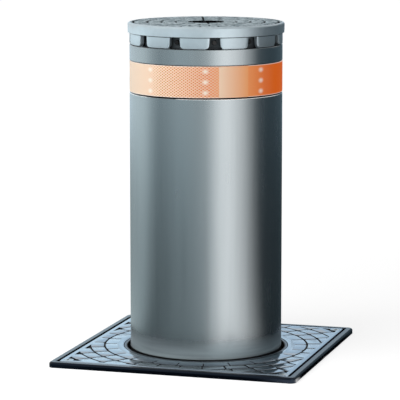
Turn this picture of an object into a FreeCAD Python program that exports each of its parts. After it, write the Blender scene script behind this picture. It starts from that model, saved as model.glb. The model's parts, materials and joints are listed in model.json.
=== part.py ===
import FreeCAD, Part
import math
import os
from FreeCAD import Vector

# Hydraulic rising bollard, shown raised. Millimetres. The origin is on the bollard's axis at
# paving level, +Z is up, and the cover's sides run along X and Y.

# Bollard tube
tube_diameter = 275.0
tube_wall = 6.0
rise = 590.0
tube_overlap = 250.0
tube_edge_bevel = 1.0

# Reflective band and its turned recess
band_height = 55.0
band_thickness = 0.8
band_recess = 1.0
band_setback = 27.6
band_top_gap = 1.5
band_foot_gap = 2.5
glue_line = 0.05

# Head casting
rim_overhang = 3.5
rim_height = 18.0
rim_draft = 0.5
rim_round = 4.0
deck_thickness = 11.0
head_relief = 2.5
head_border = 8.0
head_rows = 4
head_joint = 4.0
head_sett_length = 32.0
skirt_wall = 8.5
skirt_gap = 1.2
register_depth = 6.0
register_fit = 0.3
centre_recess_diameter = 56.0
centre_boss_wall = 8.0
centre_floor = 8.0

# Light windows between the teeth of the head, with the first one's bearing from +X
window_count = 12
window_height = 20.2
window_top_width = 18.0
window_foot_width = 21.5
window_sill = 3.0
tooth_round = 6.0
window_bearing = 23.0

# Lamps behind the windows
housing_wall = 8.0
housing_fit = 0.4
lamp_diameter = 8.4
lamp_length = 4.0
lamp_bevel = 0.6
board_fit = 0.2
board_thickness = 1.6
board_width = 16.0

# Thrust plate, rod end and head bolt
thrust_thickness = 15.0
thrust_drop = 1.0
weld_fit = 0.1
rod_nut_flats = 46.0
rod_nut_height = 18.0
rod_end_stand = 1.0
cap_bolt_diameter = 16.0
cap_bolt_length = 40.0
cap_bolt_head_diameter = 24.0
cap_bolt_head_height = 13.0
cap_bolt_socket = 14.0
cap_washer_diameter = 30.0
cap_washer_thickness = 3.0
thread_fit = 0.2

# Hydraulic ram
ram_bore = 60.0
ram_wall = 6.0
rod_diameter = 40.0
rod_end_diameter = 30.0
piston_spigot_diameter = 24.0
piston_length = 40.0
piston_fit = 0.1
piston_seal_width = 10.0
piston_seal_depth = 5.0
piston_nut_flats = 36.0
piston_nut_height = 16.0
gland_length = 45.0
gland_head = 10.0
rod_fit = 0.1
rod_seal_width = 5.0
rod_seal_depth = 6.0
piston_end_gap = 1.0
gland_drop = 23.0
ram_bottom_room = 23.0
ram_cap_thickness = 22.0
port_diameter = 18.0
port_length = 34.0
port_flats = 24.0
port_passage = 8.0

# Ram foot
eye_width = 30.0
eye_radius = 24.0
eye_clearance = 0.5
foot_pin_diameter = 24.0
foot_pin_fit = 0.05
foot_lug_thickness = 12.0
foot_lug_radius = 25.0
foot_plate_length = 110.0
foot_plate_width = 80.0
foot_plate_thickness = 10.0
foot_pin_height = 38.0
circlip_width = 2.0
circlip_depth = 4.0
circlip_gap = 0.2
pin_stub = 3.0

# Guide shoes, rails, base flange and buffers
base_flange_thickness = 12.0
base_flange_reach = 20.5
shoe_height = 30.0
shoe_width = 50.0
shoe_inset = 18.0
shoe_gap = 0.4
rail_width = 20.0
rail_depth = 14.5
rail_top_drop = 10.0
shoe_screw_diameter = 6.0
shoe_screw_length = 30.0
shoe_screw_spread = 34.0
buffer_diameter = 32.0
buffer_gap = 0.4
buffer_bevel = 3.0
buffer_count = 4
floor_gap = 6.0

# Guide collar, bush, wiper and clamp ring round the tube
well_gap = 3.0
clamp_wall = 5.0
clamp_flange_width = 11.0
clamp_flange_thickness = 4.0
clamp_drop = 0.5
wiper_thickness = 5.0
wiper_land = 3.0
wiper_clearance = 0.3
wiper_lip = 1.6
landing_gap = 1.0
bush_clearance = 0.3
bush_wall = 4.2
bush_fit = 0.05
collar_thickness = 12.0
collar_wall = 6.5
collar_fit = 2.0
collar_lip = 4.0
collar_lip_clearance = 2.0
sleeve_length = 95.0
seat_thickness = 10.0
seat_gap = 3.0
clamp_screw_count = 4
clamp_screw_diameter = 5.0
clamp_screw_length = 12.0
collar_screw_count = 6
collar_screw_diameter = 6.0
collar_screw_length = 20.0
countersink_ratio = 1.8

# Foundation casing
casing_room = 37.5
casing_wall = 4.0
casing_floor_thickness = 12.0
casing_floor_lip = 11.0
spigot_wall = 3.0
drain_diameter = 50.0
drain_lift = 1.0
conduit_diameter = 40.0
conduit_depth = 160.0
spigot_length = 45.0
spigot_collar_length = 8.0
spigot_collar_wall = 4.0
anchor_count = 4
anchor_width = 40.0
anchor_thickness = 5.0
anchor_leg = 80.0
anchor_reach = 50.0
anchor_bend = 6.0
anchor_depth = 460.0

# Ground frame and cover
frame_side = 450.0
frame_corner = 10.0
flange_thickness = 4.0
bar_width = 11.0
bar_height = 10.0
bar_round = 4.0
flange_corner = 1.0
cover_gap = 5.0
cover_thickness = 3.0
cover_relief = 3.0
cover_corner = 4.0
cover_border = 9.0
cover_bore_gap = 0.8
hub_wall = 6.0
hub_gap = 1.0
kerb_width = 34.0
kerb_slot_count = 24
kerb_slot_length = 20.0
kerb_slot_width = 1.4
sett_width = 24.0
sett_joint = 2.4
sett_length = 40.0
smallest_sett = 120.0
cover_screw_inset = 12.0
cover_screw_diameter = 8.0
cover_boss_diameter = 22.0

# Radii worked out from the tube outwards
tube_r = tube_diameter / 2
tube_bore_r = tube_r - tube_wall
rim_r = tube_r + rim_overhang
well_r = rim_r + well_gap
clamp_neck_r = well_r + clamp_wall
clamp_flange_r = clamp_neck_r + clamp_flange_width
cover_bore_r = clamp_neck_r + cover_bore_gap
wiper_seat_r = well_r + wiper_land
bush_r = tube_r + bush_clearance + bush_wall
sleeve_r = bush_r + collar_wall
casing_bore_r = tube_r + casing_room
casing_r = casing_bore_r + casing_wall
collar_r = casing_bore_r - collar_fit
seat_r = sleeve_r + seat_gap
skirt_bore_r = tube_r - skirt_wall
housing_corner_r = skirt_bore_r - housing_fit
housing_face_r = housing_corner_r * math.cos(math.pi / window_count)
housing_bore_r = housing_face_r - housing_wall
base_flange_r = tube_r + base_flange_reach
base_flange_mid_r = (tube_bore_r + base_flange_r) / 2
rail_face = casing_bore_r - rail_depth
ram_bore_r = ram_bore / 2
ram_r = ram_bore_r + ram_wall
rod_r = rod_diameter / 2
rod_end_r = rod_end_diameter / 2
piston_spigot_r = piston_spigot_diameter / 2
cap_bolt_r = cap_bolt_diameter / 2

# Heights worked out from the paving upwards
flange_top = flange_thickness
cover_base_top = flange_top + cover_thickness
cover_top = cover_base_top + cover_relief
cover_side = frame_side - 2 * (bar_width + cover_gap)
head_top = cover_top + rise
deck_top = head_top - head_relief
deck_under = deck_top - deck_thickness
rim_foot = head_top - rim_height
skirt_foot = rim_foot - window_height
tube_top = skirt_foot - skirt_gap
register_foot = tube_top - register_depth
thrust_top = register_foot - thrust_drop
thrust_foot = thrust_top - thrust_thickness
rod_end_top = thrust_top + rod_nut_height + rod_end_stand
recess_floor = rod_end_top + centre_floor
recess_top = tube_top - band_setback
recess_foot = recess_top - band_top_gap - band_height - band_foot_gap

# Heights worked out from the paving downwards
wiper_top = rim_foot - rise - landing_gap
wiper_foot = wiper_top - wiper_thickness
collar_top = wiper_top
collar_foot = collar_top - collar_thickness
clamp_flange_top = collar_top + clamp_flange_thickness
sleeve_foot = collar_foot - sleeve_length
seat_foot = collar_foot - seat_thickness
tube_foot = -tube_overlap
base_flange_foot = tube_foot - base_flange_thickness
shoe_foot = base_flange_foot - shoe_height
floor_top = shoe_foot - rise - floor_gap
floor_foot = floor_top - casing_floor_thickness
buffer_top = base_flange_foot - rise - buffer_gap
gland_top = thrust_foot - rise - gland_drop
gland_foot = gland_top - gland_length
barrel_top = gland_top - gland_head
piston_top = gland_foot - piston_end_gap
piston_foot = piston_top - piston_length
piston_nut_foot = piston_foot - piston_nut_height
rod_foot = piston_nut_foot - pin_stub
barrel_floor = rod_foot - rise - ram_bottom_room
barrel_foot = barrel_floor - ram_cap_thickness
foot_plate_top = floor_top + foot_plate_thickness
foot_pin_z = foot_plate_top + foot_pin_height
cover_screw_place = cover_side / 2 - cover_screw_inset
cap_head_seat = recess_floor + cap_washer_thickness


def cylinder(radius, low, high):
    return Part.makeCylinder(radius, high - low, Vector(0, 0, low))


def ring(inner, outer, low, high):
    return cylinder(outer, low, high).cut(cylinder(inner, low, high))


def turned(points):
    # A closed outline of (radius, height) points turned about the bollard's axis
    corners = [Vector(radius, 0, height) for radius, height in points]
    face = Part.Face(Part.makePolygon(corners + corners[:1]))
    return face.revolve(Vector(), Vector(0, 0, 1), 360)


def rounded_square(side, corner, low, high):
    half = side / 2
    block = Part.makeBox(side, side, high - low, Vector(-half, -half, low))
    uprights = [edge for edge in block.Edges if abs(edge.tangentAt(edge.FirstParameter).z) > 0.9]
    return block.makeFillet(corner, uprights)


def hexagon(flats, low, high):
    corner = flats / math.sqrt(3)
    points = [Vector(corner * math.cos(k * math.pi / 3), corner * math.sin(k * math.pi / 3), low)
              for k in range(7)]
    return Part.Face(Part.makePolygon(points)).extrude(Vector(0, 0, high - low))


def turned_about_axis(shape, degrees):
    copy = shape.copy()
    copy.rotate(Vector(), Vector(0, 0, 1), degrees)
    return copy


def spread(shape, count, start=0.0):
    return [turned_about_axis(shape, start + k * 360.0 / count) for k in range(count)]


def moved(shape, x, y):
    copy = shape.copy()
    copy.translate(Vector(x, y, 0))
    return copy


def rim_edges(shape, radius, height):
    return [edge for edge in shape.Edges
            if isinstance(edge.Curve, Part.Circle) and abs(edge.Curve.Radius - radius) < 1e-6
            and abs(edge.Curve.Center.z - height) < 1e-6]


def countersunk_screw(diameter, length, top):
    # Flat-headed screw on the axis, its head flush with the given height
    radius = diameter / 2
    head_r = radius * countersink_ratio
    return turned([(0, top), (head_r, top), (radius, top - (head_r - radius)), (radius, top - length),
                   (0, top - length)])


def countersunk_hole(diameter, length, top):
    # Room for a countersunk screw, wider than the screw by the thread fit all round
    radius = diameter / 2 + thread_fit
    head_r = diameter / 2 * countersink_ratio + thread_fit
    return turned([(0, top), (head_r, top), (radius, top - (head_r - radius)),
                   (radius, top - length - thread_fit), (0, top - length - thread_fit)])


def sett_face(inner, outer, bearing, pitch, joint, height):
    # Outline of one sett: two arcs about the axis joined by straight joints of even width
    half = math.radians(pitch) / 2
    middle = math.radians(bearing)

    def point(radius, angle):
        return Vector(radius * math.cos(angle), radius * math.sin(angle), height)

    half_in = half - joint / 2 / inner
    half_out = half - joint / 2 / outer
    near_low = point(inner, middle - half_in)
    near_high = point(inner, middle + half_in)
    far_low = point(outer, middle - half_out)
    far_high = point(outer, middle + half_out)
    edges = [
        Part.Arc(near_low, point(inner, middle), near_high).toShape(),
        Part.LineSegment(near_high, far_high).toShape(),
        Part.Arc(far_high, point(outer, middle), far_low).toShape(),
        Part.LineSegment(far_low, near_low).toShape(),
    ]
    return Part.Face(Part.Wire(edges))


def sett_row(inner, outer, length, joint, shift, height):
    # One ring of setts, as many as the ring has room for at the given length
    count = max(3, round(math.pi * (inner + outer) / length))
    pitch = 360.0 / count
    return [sett_face(inner, outer, (k + shift) * pitch, pitch, joint, height) for k in range(count)]


def disc_face(radius, height, x=0.0, y=0.0):
    circle = Part.Circle(Vector(x, y, height), Vector(0, 0, 1), radius)
    return Part.Face(Part.Wire(circle.toShape()))


def square_face(side, height):
    half = side / 2
    return Part.makePlane(side, side, Vector(-half, -half, height))


def corner_places():
    place = cover_screw_place
    return [(place, place), (-place, place), (-place, -place), (place, -place)]


def make_bollard_tube():
    recess_r = tube_r - band_recess
    return turned([
        (tube_bore_r, tube_foot), (tube_r, tube_foot),
        (tube_r, recess_foot - band_recess), (recess_r, recess_foot),
        (recess_r, recess_top), (tube_r, recess_top),
        (tube_r, tube_top - tube_edge_bevel), (tube_r - tube_edge_bevel, tube_top),
        (tube_bore_r, tube_top),
    ])


def make_reflective_band():
    inner = tube_r - band_recess + glue_line
    return ring(inner, inner + band_thickness, recess_foot + band_foot_gap, recess_top - band_top_gap)


def window_cutter():
    # One window between two teeth, with the teeth's lower corners rounded and a sill cut in the register
    half_foot = window_foot_width / 2
    half_top = window_top_width / 2
    lean = half_foot - half_top
    slope = math.hypot(lean, window_height)
    corner_angle = math.pi / 2 + math.atan2(lean, window_height)
    tangent = tooth_round / math.tan(corner_angle / 2)
    side_y = half_foot - tangent * lean / slope
    side_z = skirt_foot + tangent * window_height / slope
    foot_y = half_foot + tangent
    bulge = tooth_round * (1 - math.sin(corner_angle / 2)) / math.sin(corner_angle / 2)
    inward = corner_angle / 2
    corner_y = half_foot + bulge * math.cos(inward)
    corner_z = skirt_foot + bulge * math.sin(inward)
    start = housing_face_r

    def point(y, z):
        return Vector(start, y, z)

    outline = [
        Part.LineSegment(point(-foot_y, skirt_foot), point(foot_y, skirt_foot)).toShape(),
        Part.Arc(point(foot_y, skirt_foot), point(corner_y, corner_z), point(side_y, side_z)).toShape(),
        Part.LineSegment(point(side_y, side_z), point(half_top, rim_foot)).toShape(),
        Part.LineSegment(point(half_top, rim_foot), point(-half_top, rim_foot)).toShape(),
        Part.LineSegment(point(-half_top, rim_foot), point(-side_y, side_z)).toShape(),
        Part.Arc(point(-side_y, side_z), point(-corner_y, corner_z), point(-foot_y, skirt_foot)).toShape(),
    ]
    opening = Part.Face(Part.Wire(outline)).extrude(Vector(rim_r - start, 0, 0))
    sill_width = window_foot_width + tooth_round
    sill_foot = tube_top - window_sill
    sill = Part.makeBox(tube_bore_r - start, sill_width, skirt_foot - sill_foot,
                        Vector(start, -sill_width / 2, sill_foot))
    return opening.fuse(sill)


def head_tread():
    # Rings of low setts between the centre recess and the border of the head
    start = centre_recess_diameter / 2 + head_joint
    stop = rim_r - head_border - head_joint
    width = (stop - start - head_joint * (head_rows - 1)) / head_rows
    faces = []
    for row in range(head_rows):
        inner = start + row * (width + head_joint)
        faces += sett_row(inner, inner + width, head_sett_length, head_joint, 0.5 * (row % 2), deck_top)
    return [face.extrude(Vector(0, 0, head_relief)) for face in faces]


def make_head_cap():
    recess_r = centre_recess_diameter / 2
    boss_r = recess_r + centre_boss_wall
    bolt_hole_r = cap_bolt_r + thread_fit
    register_r = tube_bore_r - register_fit
    border_r = rim_r - head_border
    cap = turned([
        (bolt_hole_r, recess_floor), (recess_r, recess_floor), (recess_r, deck_top),
        (border_r, deck_top), (border_r, head_top), (rim_r, head_top),
        (rim_r - rim_draft, rim_foot), (tube_r, rim_foot), (tube_r, skirt_foot),
        (register_r, skirt_foot), (register_r, register_foot), (skirt_bore_r, register_foot),
        (skirt_bore_r, deck_under), (boss_r, deck_under), (boss_r, rod_end_top),
        (bolt_hole_r, rod_end_top),
    ])
    cap = cap.makeFillet(rim_round, rim_edges(cap, rim_r, head_top))
    cap = cap.cut(Part.makeCompound(spread(window_cutter(), window_count, window_bearing)))
    return cap.fuse(head_tread())


def lamp_axis_height():
    return (skirt_foot + rim_foot) / 2


def radial(shape):
    # Lays a shape drawn along +Z from the axis out along +X at lamp height
    copy = shape.copy()
    copy.rotate(Vector(), Vector(0, 1, 0), 90)
    copy.translate(Vector(0, 0, lamp_axis_height()))
    return copy


def window_prism(face_r, low, high):
    # Prism with one flat side facing each window, the given distance from the axis
    corner_r = face_r / math.cos(math.pi / window_count)
    step = 360.0 / window_count
    bearings = [math.radians(window_bearing + (k + 0.5) * step) for k in range(window_count + 1)]
    corners = [Vector(corner_r * math.cos(turn), corner_r * math.sin(turn), low) for turn in bearings]
    return Part.Face(Part.makePolygon(corners)).extrude(Vector(0, 0, high - low))


def make_light_housing():
    outer = window_prism(housing_face_r, tube_top, deck_under)
    return outer.cut(window_prism(housing_bore_r, tube_top, deck_under))


def make_lamp_lenses():
    radius = lamp_diameter / 2
    front = housing_face_r + lamp_length
    lens = turned([(0, housing_face_r), (radius, housing_face_r), (radius, front - lamp_bevel),
                   (radius - lamp_bevel, front), (0, front)])
    return Part.makeCompound(spread(radial(lens), window_count, window_bearing))


def make_lamp_board():
    outer = housing_bore_r - board_fit
    low = lamp_axis_height() - board_width / 2
    high = lamp_axis_height() + board_width / 2
    return window_prism(outer, low, high).cut(window_prism(outer - board_thickness, low, high))


def make_thrust_plate():
    return ring(rod_end_r + thread_fit, tube_bore_r - weld_fit, thrust_foot, thrust_top)


def make_rod_nut():
    nut = hexagon(rod_nut_flats, thrust_top, thrust_top + rod_nut_height)
    return nut.cut(cylinder(rod_end_r + thread_fit, thrust_top, thrust_top + rod_nut_height))


def make_cap_washer():
    return ring(cap_bolt_r + thread_fit, cap_washer_diameter / 2, recess_floor, cap_head_seat)


def make_cap_bolt():
    head_top_z = cap_head_seat + cap_bolt_head_height
    shank = cylinder(cap_bolt_r, cap_head_seat - cap_bolt_length, cap_head_seat)
    head = cylinder(cap_bolt_head_diameter / 2, cap_head_seat, head_top_z)
    socket = hexagon(cap_bolt_socket, cap_head_seat + cap_bolt_head_height / 2, head_top_z)
    return shank.fuse(head).cut(socket)


def make_ram_rod():
    bolt_room = cap_head_seat - cap_bolt_length - thread_fit
    return turned([
        (0, rod_foot), (piston_spigot_r, rod_foot), (piston_spigot_r, piston_top),
        (rod_r, piston_top), (rod_r, thrust_foot), (rod_end_r, thrust_foot),
        (rod_end_r, rod_end_top), (cap_bolt_r + thread_fit, rod_end_top),
        (cap_bolt_r + thread_fit, bolt_room), (0, bolt_room),
    ])


def piston_seal_span():
    middle = (piston_top + piston_foot) / 2
    return middle - piston_seal_width / 2, middle + piston_seal_width / 2


def make_piston():
    body = ring(piston_spigot_r + rod_fit, ram_bore_r - piston_fit, piston_foot, piston_top)
    low, high = piston_seal_span()
    return body.cut(ring(ram_bore_r - piston_seal_depth, ram_bore_r, low, high))


def make_piston_seal():
    low, high = piston_seal_span()
    return ring(ram_bore_r - piston_seal_depth + piston_fit, ram_bore_r - piston_fit, low, high)


def make_piston_nut():
    nut = hexagon(piston_nut_flats, piston_nut_foot, piston_foot)
    return nut.cut(cylinder(piston_spigot_r + thread_fit, piston_nut_foot, piston_foot))


def make_ram_gland():
    # Flanged plug in the barrel's mouth, with a groove at the top for the rod seal
    return turned([
        (rod_r + rod_fit, gland_foot), (ram_bore_r - piston_fit, gland_foot),
        (ram_bore_r - piston_fit, barrel_top), (ram_r, barrel_top), (ram_r, gland_top),
        (rod_r + rod_seal_depth, gland_top), (rod_r + rod_seal_depth, gland_top - rod_seal_width),
        (rod_r + rod_fit, gland_top - rod_seal_width),
    ])


def make_rod_seal():
    return ring(rod_r + rod_fit, rod_r + rod_seal_depth - rod_fit, gland_top - rod_seal_width, gland_top)


def along_y(shape, height):
    # Lays a shape drawn along +Z out along +Y at the given height
    copy = shape.copy()
    copy.rotate(Vector(), Vector(1, 0, 0), -90)
    copy.translate(Vector(0, 0, height))
    return copy


def along_x(shape, height):
    copy = shape.copy()
    copy.rotate(Vector(), Vector(0, 1, 0), 90)
    copy.translate(Vector(0, 0, height))
    return copy


def port_height():
    return barrel_floor - ram_cap_thickness / 2


def make_ram_barrel():
    # Honed tube, closed below by a cap with the foot eye and the pressure port
    barrel = ring(ram_bore_r, ram_r, barrel_floor, barrel_top)
    barrel = barrel.fuse(cylinder(ram_r, barrel_foot, barrel_floor))
    half = eye_width / 2
    neck = Part.makeBox(eye_width, 2 * eye_radius, barrel_foot - foot_pin_z,
                        Vector(-half, -eye_radius, foot_pin_z))
    eye = along_x(cylinder(eye_radius, -half, half), foot_pin_z)
    pin_hole = along_x(cylinder(foot_pin_diameter / 2 + foot_pin_fit, -half, half), foot_pin_z)
    port_hole = along_y(cylinder(port_diameter / 2 + thread_fit, ram_bore_r, ram_r), port_height())
    passage = along_y(cylinder(port_passage / 2, 0, ram_r), port_height())
    riser = cylinder(port_passage / 2, port_height(), barrel_floor)
    return barrel.fuse([neck, eye]).cut([pin_hole, port_hole, passage, riser]).removeSplitter()


def make_pressure_port():
    stem = cylinder(port_diameter / 2, ram_bore_r, ram_bore_r + port_length)
    nut = hexagon(port_flats, ram_r, ram_r + port_length / 2)
    bore = cylinder(port_passage / 2, ram_bore_r, ram_bore_r + port_length)
    return along_y(stem.fuse(nut).cut(bore), port_height())


def make_foot_bracket():
    plate = Part.makeBox(foot_plate_length, foot_plate_width, foot_plate_thickness,
                         Vector(-foot_plate_length / 2, -foot_plate_width / 2, floor_top))
    inner = eye_width / 2 + eye_clearance
    outer = inner + foot_lug_thickness
    web = Part.makeBox(foot_lug_thickness, 2 * foot_lug_radius, foot_pin_z - foot_plate_top,
                       Vector(inner, -foot_lug_radius, foot_plate_top))
    lug = web.fuse(along_x(cylinder(foot_lug_radius, inner, outer), foot_pin_z))
    hole = along_x(cylinder(foot_pin_diameter / 2 + foot_pin_fit, -outer, outer), foot_pin_z)
    return plate.fuse(spread(lug, 2)).cut(hole).removeSplitter()


def pin_face():
    return eye_width / 2 + eye_clearance + foot_lug_thickness


def make_foot_pin():
    reach = pin_face() + circlip_gap + circlip_width + pin_stub
    return along_x(cylinder(foot_pin_diameter / 2, -reach, reach), foot_pin_z)


def make_pin_circlips():
    inner = foot_pin_diameter / 2 + foot_pin_fit
    low = pin_face() + circlip_gap
    clip = along_x(ring(inner, inner + circlip_depth, low, low + circlip_width), foot_pin_z)
    return Part.makeCompound(spread(clip, 2))


def shoe_screw_places():
    middle = tube_r + base_flange_reach / 2
    half = shoe_screw_spread / 2
    x = math.sqrt(middle ** 2 - half ** 2)
    return [(side * x, side * sign * half) for side in (1, -1) for sign in (1, -1)]


def make_base_flange():
    flange = ring(tube_bore_r, base_flange_r, base_flange_foot, tube_foot)
    hole = cylinder(shoe_screw_diameter / 2 + thread_fit, base_flange_foot, tube_foot)
    return flange.cut([moved(hole, x, y) for x, y in shoe_screw_places()])


def make_guide_shoe(side):
    # Nylon block under the base flange that straddles one rail
    near = rail_face - shoe_inset
    far = math.sqrt((casing_bore_r - collar_fit) ** 2 - (shoe_width / 2) ** 2)
    block = Part.makeBox(far - near, shoe_width, shoe_height, Vector(near, -shoe_width / 2, shoe_foot))
    slot_half = rail_width / 2 + shoe_gap
    slot = Part.makeBox(far, 2 * slot_half, shoe_height, Vector(rail_face - shoe_gap, -slot_half, shoe_foot))
    hole = cylinder(shoe_screw_diameter / 2 + thread_fit, tube_foot - shoe_screw_length, base_flange_foot)
    holes = [moved(hole, x, y) for x, y in shoe_screw_places() if x > 0]
    return turned_about_axis(block.cut([slot] + holes), 0 if side > 0 else 180)


def make_shoe_screws():
    radius = shoe_screw_diameter / 2
    head = cylinder(radius * countersink_ratio, tube_foot, tube_foot + shoe_screw_diameter)
    socket = hexagon(shoe_screw_diameter, tube_foot + radius, tube_foot + shoe_screw_diameter)
    screw = cylinder(radius, tube_foot - shoe_screw_length, tube_foot).fuse(head).cut(socket)
    return Part.makeCompound([moved(screw, x, y) for x, y in shoe_screw_places()])


def make_guide_rail(side):
    top = sleeve_foot - rail_top_drop
    bar = Part.makeBox(casing_bore_r, rail_width, top - floor_top,
                       Vector(rail_face, -rail_width / 2, floor_top))
    bar = bar.common(cylinder(casing_bore_r - weld_fit, floor_top, top))
    return turned_about_axis(bar, 0 if side > 0 else 180)


def make_buffers():
    # Rubber stops on the casing floor that the base flange lands on
    radius = buffer_diameter / 2
    stop = turned([(0, floor_top), (radius, floor_top), (radius, buffer_top - buffer_bevel),
                   (radius - buffer_bevel, buffer_top), (0, buffer_top)])
    return Part.makeCompound(set_round(stop, base_flange_mid_r, buffer_count))


def clamp_screw_r():
    return (clamp_neck_r + clamp_flange_r) / 2


def collar_screw_r():
    return (clamp_flange_r + collar_r) / 2


def set_round(piece, radius, count):
    # Copies of a piece on a circle about the axis, half a step off +X
    return spread(moved(piece, radius, 0), count, 180.0 / count)


def make_seal_clamp_ring():
    neck_top = cover_top - clamp_drop
    body = turned([
        (well_r, collar_top), (clamp_flange_r, collar_top), (clamp_flange_r, clamp_flange_top),
        (clamp_neck_r, clamp_flange_top), (clamp_neck_r, neck_top), (well_r, neck_top),
    ])
    hole = countersunk_hole(clamp_screw_diameter, clamp_screw_length, clamp_flange_top)
    return body.cut(set_round(hole, clamp_screw_r(), clamp_screw_count))


def make_clamp_screws():
    screw = countersunk_screw(clamp_screw_diameter, clamp_screw_length, clamp_flange_top)
    return Part.makeCompound(set_round(screw, clamp_screw_r(), clamp_screw_count))


def make_wiper_seal():
    # Rubber ring with a lip that leans up to the tube
    outer = wiper_seat_r - bush_fit
    inner = tube_r + wiper_clearance
    lip_top = wiper_top - wiper_lip / 2
    return turned([(bush_r, wiper_foot), (outer, wiper_foot), (outer, wiper_top), (well_r, wiper_top),
                   (inner, lip_top), (inner, lip_top - wiper_lip)])


def make_guide_collar():
    bore_r = bush_r + bush_fit
    lip_r = tube_r + collar_lip_clearance
    lip_top = sleeve_foot + collar_lip
    body = turned([
        (wiper_seat_r, collar_top), (collar_r, collar_top), (collar_r, collar_foot),
        (sleeve_r, collar_foot), (sleeve_r, sleeve_foot), (lip_r, sleeve_foot), (lip_r, lip_top),
        (bore_r, lip_top), (bore_r, wiper_foot), (wiper_seat_r, wiper_foot),
    ])
    collar_hole = countersunk_hole(collar_screw_diameter, collar_screw_length, collar_top)
    clamp_hole = countersunk_hole(clamp_screw_diameter, clamp_screw_length, clamp_flange_top)
    holes = set_round(collar_hole, collar_screw_r(), collar_screw_count)
    holes += set_round(clamp_hole, clamp_screw_r(), clamp_screw_count)
    return body.cut(holes)


def make_collar_screws():
    screw = countersunk_screw(collar_screw_diameter, collar_screw_length, collar_top)
    return Part.makeCompound(set_round(screw, collar_screw_r(), collar_screw_count))


def make_guide_bush():
    return ring(tube_r + bush_clearance, bush_r, sleeve_foot + collar_lip, wiper_foot)


def spigot_solid(diameter, height):
    # Pipe along +Y with a weld collar, saddled onto the casing's outer wall
    radius = diameter / 2
    collar_r = radius + spigot_collar_wall
    collar_end = casing_r + spigot_collar_length
    end = casing_r + spigot_length
    pipe = turned([(radius - spigot_wall, 0), (collar_r, 0), (collar_r, collar_end), (radius, collar_end),
                   (radius, end), (radius - spigot_wall, end)])
    return along_y(pipe, height).cut(cylinder(casing_r, height - diameter, height + diameter))


def drain_z():
    return floor_top + drain_diameter / 2 + spigot_collar_wall + drain_lift


def make_drain_spigot():
    return turned_about_axis(spigot_solid(drain_diameter, drain_z()), 180)


def make_conduit_spigot():
    return spigot_solid(conduit_diameter, -conduit_depth)


def make_foundation_casing():
    # Round steel well up through the ground flange, with a hole in its wall behind each spigot
    drain_hole = along_y(cylinder(drain_diameter / 2 - spigot_wall, -casing_r, 0), drain_z())
    conduit_hole = along_y(cylinder(conduit_diameter / 2 - spigot_wall, 0, casing_r), -conduit_depth)
    return ring(casing_bore_r, casing_r, floor_top, flange_top).cut([drain_hole, conduit_hole])


def make_ground_flange():
    # Square plate inside the frame bar, welded round the casing's upper end and tapped for screws
    casing_hole = cylinder(casing_r + weld_fit, 0, flange_top)
    side = frame_side - 2 * (bar_width + weld_fit)
    plate = rounded_square(side, flange_corner, 0, flange_top).cut(casing_hole)
    tapped = cylinder(cover_screw_diameter / 2 + thread_fit, 0, flange_top)
    return plate.cut([moved(tapped, x, y) for x, y in corner_places()])


def make_collar_seat():
    # Ring welded into the casing, tapped for the collar's screws
    seat = ring(seat_r, casing_bore_r - weld_fit, seat_foot, collar_foot)
    tapped = cylinder(collar_screw_diameter / 2 + thread_fit, seat_foot, collar_foot)
    return seat.cut(set_round(tapped, collar_screw_r(), collar_screw_count))


def make_casing_floor():
    return cylinder(casing_r + casing_floor_lip, floor_foot, floor_top)


def make_anchor_lug(number):
    # Flat bar welded to the casing and bent out into the concrete
    near = casing_r + weld_fit
    low = -anchor_depth
    outline = [Vector(near, 0, low), Vector(near, 0, low + anchor_leg),
               Vector(near + anchor_thickness, 0, low + anchor_leg),
               Vector(near + anchor_thickness, 0, low + anchor_thickness),
               Vector(near + anchor_reach, 0, low + anchor_thickness), Vector(near + anchor_reach, 0, low)]
    bar = Part.Face(Part.makePolygon(outline + outline[:1])).extrude(Vector(0, anchor_width, 0))
    bar.translate(Vector(0, -anchor_width / 2, 0))
    inner_x = near + anchor_thickness

    def bend_edges(x, z):
        return [edge for edge in bar.Edges if edge.BoundBox.YLength > anchor_width / 2
                and abs(edge.CenterOfMass.x - x) < 1e-6 and abs(edge.CenterOfMass.z - z) < 1e-6]

    bar = bar.makeFillet(anchor_bend, bend_edges(inner_x, low + anchor_thickness))
    bar = bar.makeFillet(anchor_bend + anchor_thickness, bend_edges(near, low))
    return turned_about_axis(bar, (number - 0.5) * 360.0 / anchor_count)


def make_ground_frame():
    # Four bars round the flange, mitred at the corners and rounded along the upper outer edge
    outer = rounded_square(frame_side, frame_corner, 0, bar_height)
    upper = [edge for edge in outer.Edges if edge.BoundBox.ZMin > bar_height - 1e-6]
    outer = outer.makeFillet(bar_round, upper)
    far = frame_side / 2
    near = far - bar_width
    gap = weld_fit / 2
    inner_half = near - gap
    outer_half = far - gap
    start = Vector(near, -inner_half, 0)
    corners = [Vector(far, -outer_half, 0), Vector(far, outer_half, 0), Vector(near, inner_half, 0)]
    plan = Part.Face(Part.makePolygon([start, *corners, start]))
    bar = plan.extrude(Vector(0, 0, bar_height)).common(outer)
    return Part.makeCompound(spread(bar, 4))


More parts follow.
